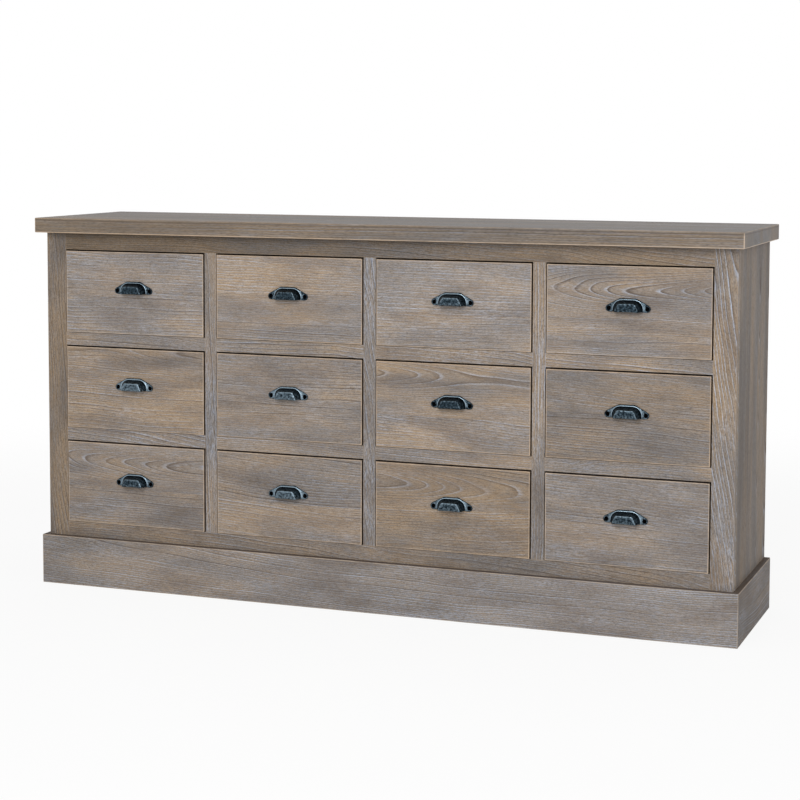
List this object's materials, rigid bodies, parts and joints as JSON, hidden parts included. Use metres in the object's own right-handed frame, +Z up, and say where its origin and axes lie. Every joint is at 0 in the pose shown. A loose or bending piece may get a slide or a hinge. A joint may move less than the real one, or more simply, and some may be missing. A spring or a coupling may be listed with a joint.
{
  "type": "chest of drawers",
  "caption": "Low wide chest of drawers in limed grey-brown wood: slab top, face frame with inset sliding drawers, iron cup pulls and a plinth proud of the case.",
  "frame": {"origin": "on the floor under the middle of the top board", "axes": "+X to the right seen from the front, front faces -Y, +Z up"},
  "size_m": [1.6, 0.395, 0.834],
  "materials": {
    "limed_wood": "brushed grain, limed grey-brown, waxed",
    "plain_wood": "sanded, unfinished",
    "cast_iron": "blackened, rim rubbed bright",
    "screw_steel": "zinc plated"
  },
  "bodies": {
    "case": {"top_panel": "limed_wood", "left_side_panel": "limed_wood", "right_side_panel": "limed_wood", "back_panel": "plain_wood", "bottom_panel": "plain_wood", "left_front_post": "limed_wood", "right_front_post": "limed_wood", "top_rail": "limed_wood", "bottom_rail": "limed_wood", "mullion_1": "limed_wood", "mullion_2": "limed_wood", "mullion_3": "limed_wood", "drawer_rails": "limed_wood", "partitions": "plain_wood", "runners_and_guides": "plain_wood", "drawer_stops": "plain_wood", "top_kickers": "plain_wood", "plinth_front": "limed_wood", "plinth_left": "limed_wood", "plinth_right": "limed_wood", "plinth_back": "plain_wood", "plinth_blocks": "plain_wood", "top_screws": "screw_steel", "back_screws": "screw_steel"},
    "drawer_r1c1": {"drawer_r1c1_front": "limed_wood", "drawer_r1c1_box": "plain_wood", "drawer_r1c1_pull": "cast_iron"},
    "drawer_r1c2": {"drawer_r1c2_front": "limed_wood", "drawer_r1c2_box": "plain_wood", "drawer_r1c2_pull": "cast_iron"},
    "drawer_r1c3": {"drawer_r1c3_front": "limed_wood", "drawer_r1c3_box": "plain_wood", "drawer_r1c3_pull": "cast_iron"},
    "drawer_r1c4": {"drawer_r1c4_front": "limed_wood", "drawer_r1c4_box": "plain_wood", "drawer_r1c4_pull": "cast_iron"},
    "drawer_r2c1": {"drawer_r2c1_front": "limed_wood", "drawer_r2c1_box": "plain_wood", "drawer_r2c1_pull": "cast_iron"},
    "drawer_r2c2": {"drawer_r2c2_front": "limed_wood", "drawer_r2c2_box": "plain_wood", "drawer_r2c2_pull": "cast_iron"},
    "drawer_r2c3": {"drawer_r2c3_front": "limed_wood", "drawer_r2c3_box": "plain_wood", "drawer_r2c3_pull": "cast_iron"},
    "drawer_r2c4": {"drawer_r2c4_front": "limed_wood", "drawer_r2c4_box": "plain_wood", "drawer_r2c4_pull": "cast_iron"},
    "drawer_r3c1": {"drawer_r3c1_front": "limed_wood", "drawer_r3c1_box": "plain_wood", "drawer_r3c1_pull": "cast_iron"},
    "drawer_r3c2": {"drawer_r3c2_front": "limed_wood", "drawer_r3c2_box": "plain_wood", "drawer_r3c2_pull": "cast_iron"},
    "drawer_r3c3": {"drawer_r3c3_front": "limed_wood", "drawer_r3c3_box": "plain_wood", "drawer_r3c3_pull": "cast_iron"},
    "drawer_r3c4": {"drawer_r3c4_front": "limed_wood", "drawer_r3c4_box": "plain_wood", "drawer_r3c4_pull": "cast_iron"}
  },
  "joints": [
    {"name": "drawer_r1c1_slide", "type": "slide", "parent": "case", "child": "drawer_r1c1", "axis": [0, -1, 0], "range_m": [0, 0.24]},
    {"name": "drawer_r1c2_slide", "type": "slide", "parent": "case", "child": "drawer_r1c2", "axis": [0, -1, 0], "range_m": [0, 0.24]},
    {"name": "drawer_r1c3_slide", "type": "slide", "parent": "case", "child": "drawer_r1c3", "axis": [0, -1, 0], "range_m": [0, 0.24]},
    {"name": "drawer_r1c4_slide", "type": "slide", "parent": "case", "child": "drawer_r1c4", "axis": [0, -1, 0], "range_m": [0, 0.24]},
    {"name": "drawer_r2c1_slide", "type": "slide", "parent": "case", "child": "drawer_r2c1", "axis": [0, -1, 0], "range_m": [0, 0.24]},
    {"name": "drawer_r2c2_slide", "type": "slide", "parent": "case", "child": "drawer_r2c2", "axis": [0, -1, 0], "range_m": [0, 0.24]},
    {"name": "drawer_r2c3_slide", "type": "slide", "parent": "case", "child": "drawer_r2c3", "axis": [0, -1, 0], "range_m": [0, 0.24]},
    {"name": "drawer_r2c4_slide", "type": "slide", "parent": "case", "child": "drawer_r2c4", "axis": [0, -1, 0], "range_m": [0, 0.24]},
    {"name": "drawer_r3c1_slide", "type": "slide", "parent": "case", "child": "drawer_r3c1", "axis": [0, -1, 0], "range_m": [0, 0.24]},
    {"name": "drawer_r3c2_slide", "type": "slide", "parent": "case", "child": "drawer_r3c2", "axis": [0, -1, 0], "range_m": [0, 0.24]},
    {"name": "drawer_r3c3_slide", "type": "slide", "parent": "case", "child": "drawer_r3c3", "axis": [0, -1, 0], "range_m": [0, 0.24]},
    {"name": "drawer_r3c4_slide", "type": "slide", "parent": "case", "child": "drawer_r3c4", "axis": [0, -1, 0], "range_m": [0, 0.24]}
  ]
}
